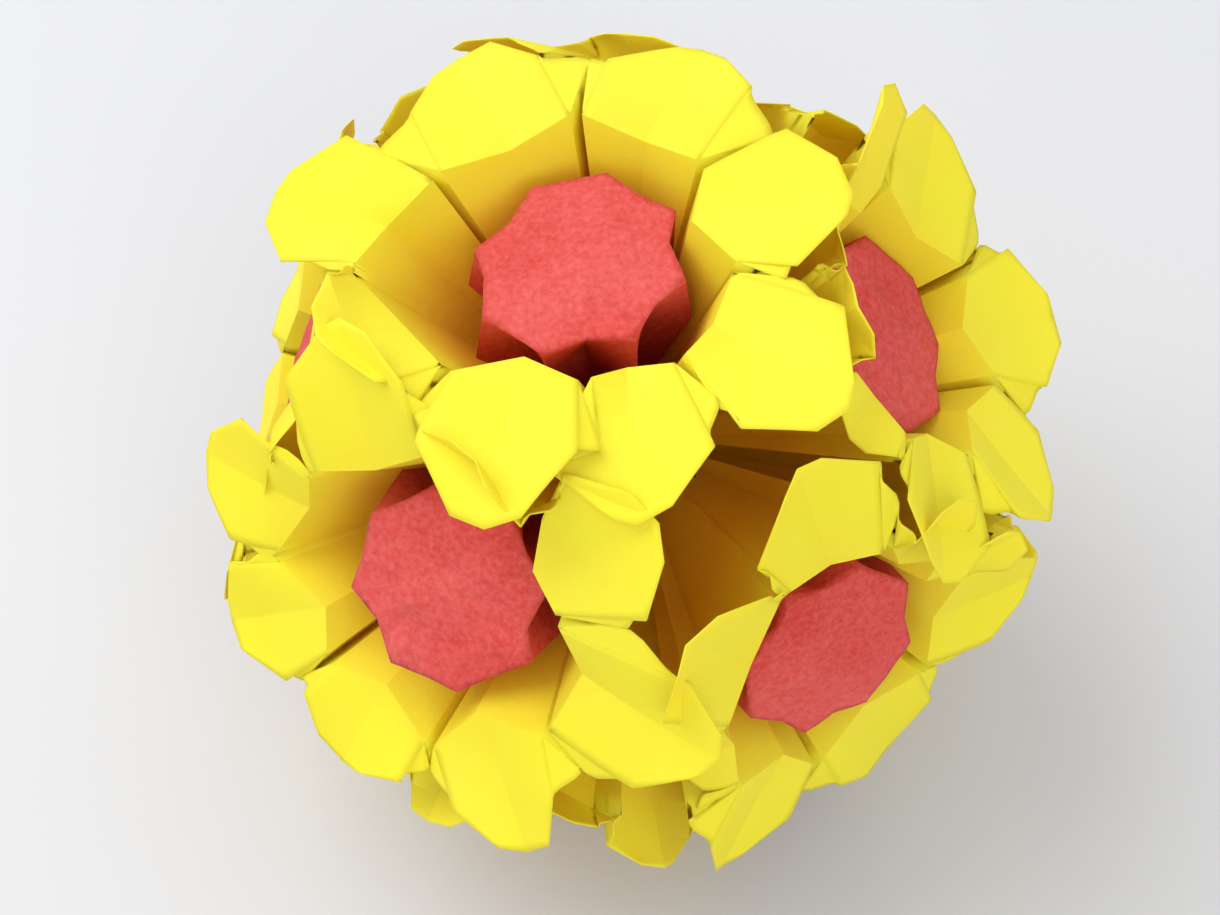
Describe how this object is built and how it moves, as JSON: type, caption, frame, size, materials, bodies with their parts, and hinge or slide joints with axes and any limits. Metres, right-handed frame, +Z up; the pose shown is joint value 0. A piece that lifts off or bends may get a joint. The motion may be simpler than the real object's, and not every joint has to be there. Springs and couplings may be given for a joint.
{
  "type": "kusudama paper ball",
  "caption": "Round ball of folded yellow paper flowers with puckered red centres, tied together at the middle with black thread.",
  "frame": {"origin": "middle of the bounding box in plan, on the table under the ball", "axes": "+Z up as the ball rests; -Y towards the side with the open gap between four flowers"},
  "size_m": [0.1608, 0.1636, 0.154],
  "materials": {
    "yellow_paper": "bright lemon yellow paper, matte, both faces coloured",
    "red_paper": "coral red fibrous paper, matte",
    "black_thread": "twisted sewing thread, dull black"
  },
  "bodies": {
    "root": {"centre_back": "red_paper", "centre_back_left": "red_paper", "centre_back_low": "red_paper", "centre_bottom": "red_paper", "centre_front_left": "red_paper", "centre_front_low": "red_paper", "centre_front_right": "red_paper", "centre_left": "red_paper", "centre_left_low": "red_paper", "centre_right": "red_paper", "centre_right_low": "red_paper", "centre_top": "red_paper", "petals_back": "yellow_paper", "petals_back_left": "yellow_paper", "petals_back_low": "yellow_paper", "petals_bottom": "yellow_paper", "petals_front_left": "yellow_paper", "petals_front_low": "yellow_paper", "petals_front_right": "yellow_paper", "petals_left": "yellow_paper", "petals_left_low": "yellow_paper", "petals_right": "yellow_paper", "petals_right_low": "yellow_paper", "petals_top": "yellow_paper", "tie_thread": "black_thread"}
  },
  "joints": []
}
